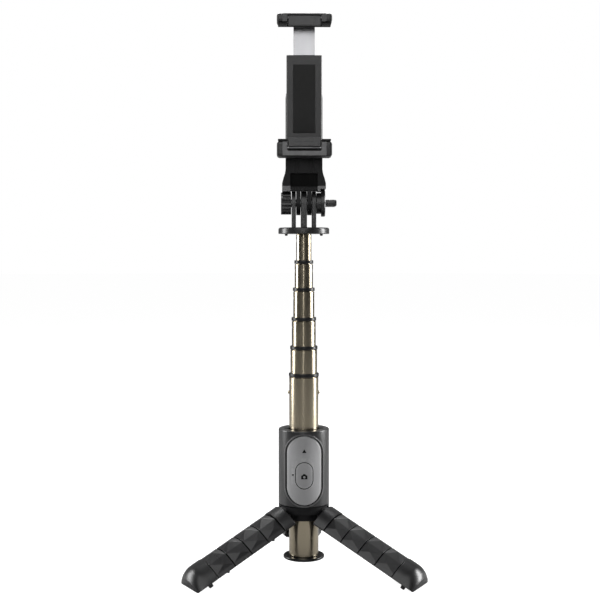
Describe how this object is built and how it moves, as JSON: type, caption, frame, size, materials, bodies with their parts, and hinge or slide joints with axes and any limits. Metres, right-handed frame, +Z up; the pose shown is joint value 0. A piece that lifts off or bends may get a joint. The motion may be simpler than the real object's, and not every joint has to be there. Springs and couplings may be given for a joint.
{
  "type": "selfie stick tripod",
  "caption": "Telescopic selfie stick that opens into a small tripod, with a sprung phone clamp and a lift-out remote.",
  "frame": {"origin": "centre of the end disc's flat underside, on the pole's axis", "axes": "+Z up the pole, -Y the front with the remote and the phone, +X to the right seen from the front"},
  "size_m": [0.149, 0.1318, 0.3454],
  "materials": {
    "satin_black": "satin moulded black",
    "gloss_black": "polished black",
    "soft_grey": "satin charcoal grey",
    "bronze_tube": "polished champagne gunmetal",
    "steel": "plain steel",
    "rubber": "matt black rubber",
    "clear": "clear light guide",
    "green": "green circuit laminate"
  },
  "bodies": {
    "pole": {"main_tube": "bronze_tube", "main_collar": "gloss_black", "end_disc": "gloss_black"},
    "hub": {"hub_shell": "satin_black", "hub_bracket": "gloss_black", "hub_guide_bush": "satin_black", "hinge_pin_left": "steel", "hinge_pin_right": "steel", "hinge_pin_rear": "steel"},
    "leg_left": {"leg_left_frame": "satin_black", "leg_left_cover": "satin_black", "leg_left_toe": "satin_black"},
    "leg_right": {"leg_right_frame": "satin_black", "leg_right_cover": "satin_black", "leg_right_toe": "satin_black"},
    "leg_rear": {"leg_rear_frame": "satin_black", "leg_rear_cover": "satin_black", "leg_rear_toe": "satin_black"},
    "section_2": {"tube_2": "bronze_tube", "guide_bush_2": "satin_black", "collar_2": "gloss_black"},
    "section_3": {"tube_3": "bronze_tube", "guide_bush_3": "satin_black", "collar_3": "gloss_black"},
    "section_4": {"tube_4": "bronze_tube", "guide_bush_4": "satin_black", "collar_4": "gloss_black"},
    "section_5": {"tube_5": "bronze_tube", "guide_bush_5": "satin_black", "collar_5": "gloss_black"},
    "section_6": {"tube_6": "bronze_tube", "guide_bush_6": "satin_black"},
    "head": {"head_base": "satin_black", "nut_knob": "satin_black"},
    "wing_screw": {"tilt_bolt": "steel", "wing_knob": "satin_black"},
    "neck": {"neck": "satin_black"},
    "clamp": {"lower_jaw": "soft_grey", "housing_cover": "satin_black", "swivel_bolt": "steel", "swivel_washer": "steel", "swivel_nut": "steel", "clamp_spring_left": "steel", "clamp_spring_right": "steel", "lower_pad": "rubber", "back_pad": "rubber", "lower_flap_pin": "steel"},
    "lower_flap": {"lower_flap": "soft_grey"},
    "upper_jaw": {"upper_jaw": "soft_grey", "slider": "steel", "upper_pad": "rubber", "upper_flap_pin": "steel"},
    "upper_flap": {"upper_flap": "soft_grey"},
    "remote": {"remote_case": "soft_grey", "remote_back": "satin_black", "circuit_board": "green", "coin_cell": "steel", "dome_switch": "steel", "light_pipe": "clear"},
    "shutter_button": {"shutter_button": "soft_grey"}
  },
  "joints": [
    {"name": "hub_slide", "type": "slide", "parent": "pole", "child": "hub", "axis": [0, 0, 1], "range_m": [-0.0234, 0.044]},
    {"name": "leg_left_fold", "type": "hinge", "parent": "hub", "child": "leg_left", "pos_m": [-0.01126, -0.0065, 0.0313], "axis": [0.5, -0.866, 0], "range_deg": [0, 64.2]},
    {"name": "leg_right_fold", "type": "hinge", "parent": "hub", "child": "leg_right", "pos_m": [0.01126, -0.0065, 0.0313], "axis": [0.5, 0.866, 0], "range_deg": [0, 64.2]},
    {"name": "leg_rear_fold", "type": "hinge", "parent": "hub", "child": "leg_rear", "pos_m": [0, 0.013, 0.0313], "axis": [-1, 0, 0], "range_deg": [0, 64.2]},
    {"name": "section_2_slide", "type": "slide", "parent": "pole", "child": "section_2", "axis": [0, 0, 1], "range_m": [-0.0146, 0.076]},
    {"name": "section_3_slide", "type": "slide", "parent": "section_2", "child": "section_3", "axis": [0, 0, 1], "range_m": [-0.0155, 0.076]},
    {"name": "section_4_slide", "type": "slide", "parent": "section_3", "child": "section_4", "axis": [0, 0, 1], "range_m": [-0.0161, 0.076]},
    {"name": "section_5_slide", "type": "slide", "parent": "section_4", "child": "section_5", "axis": [0, 0, 1], "range_m": [-0.0147, 0.076]},
    {"name": "section_6_slide", "type": "slide", "parent": "section_5", "child": "section_6", "axis": [0, 0, 1], "range_m": [-0.0163, 0.076]},
    {"name": "head_pan", "type": "hinge", "parent": "section_6", "child": "head", "pos_m": [0, 0, 0.2036], "axis": [0, 0, 1], "continuous": true},
    {"name": "wing_screw_turn", "type": "hinge", "parent": "head", "child": "wing_screw", "pos_m": [0, 0, 0.2228], "axis": [1, 0, 0], "continuous": true},
    {"name": "head_tilt", "type": "hinge", "parent": "head", "child": "neck", "pos_m": [0, 0, 0.2228], "axis": [1, 0, 0], "range_deg": [-90, 90]},
    {"name": "clamp_swivel", "type": "hinge", "parent": "neck", "child": "clamp", "pos_m": [0, -0.0073, 0.288], "axis": [0, 1, 0], "range_deg": [-90, 90]},
    {"name": "upper_jaw_slide", "type": "slide", "parent": "clamp", "child": "upper_jaw", "axis": [0, 0, 1], "range_m": [-0.0142, 0.018], "deforming": ["clamp_spring_left", "clamp_spring_right"]},
    {"name": "lower_flap_fold", "type": "hinge", "parent": "clamp", "child": "lower_flap", "pos_m": [0, -0.0212, 0.256], "axis": [-1, 0, 0], "range_deg": [0, 90]},
    {"name": "upper_flap_fold", "type": "hinge", "parent": "upper_jaw", "child": "upper_flap", "pos_m": [0, -0.0212, 0.3352], "axis": [1, 0, 0], "range_deg": [0, 90]},
    {"name": "remote_lift", "type": "slide", "parent": "hub", "child": "remote", "axis": [0, -1, 0], "range_m": [0, 0.03]},
    {"name": "shutter_press", "type": "slide", "parent": "remote", "child": "shutter_button", "axis": [0, 1, 0], "range_m": [0, 0.0003], "stiffness_N_per_m": 1500}
  ]
}
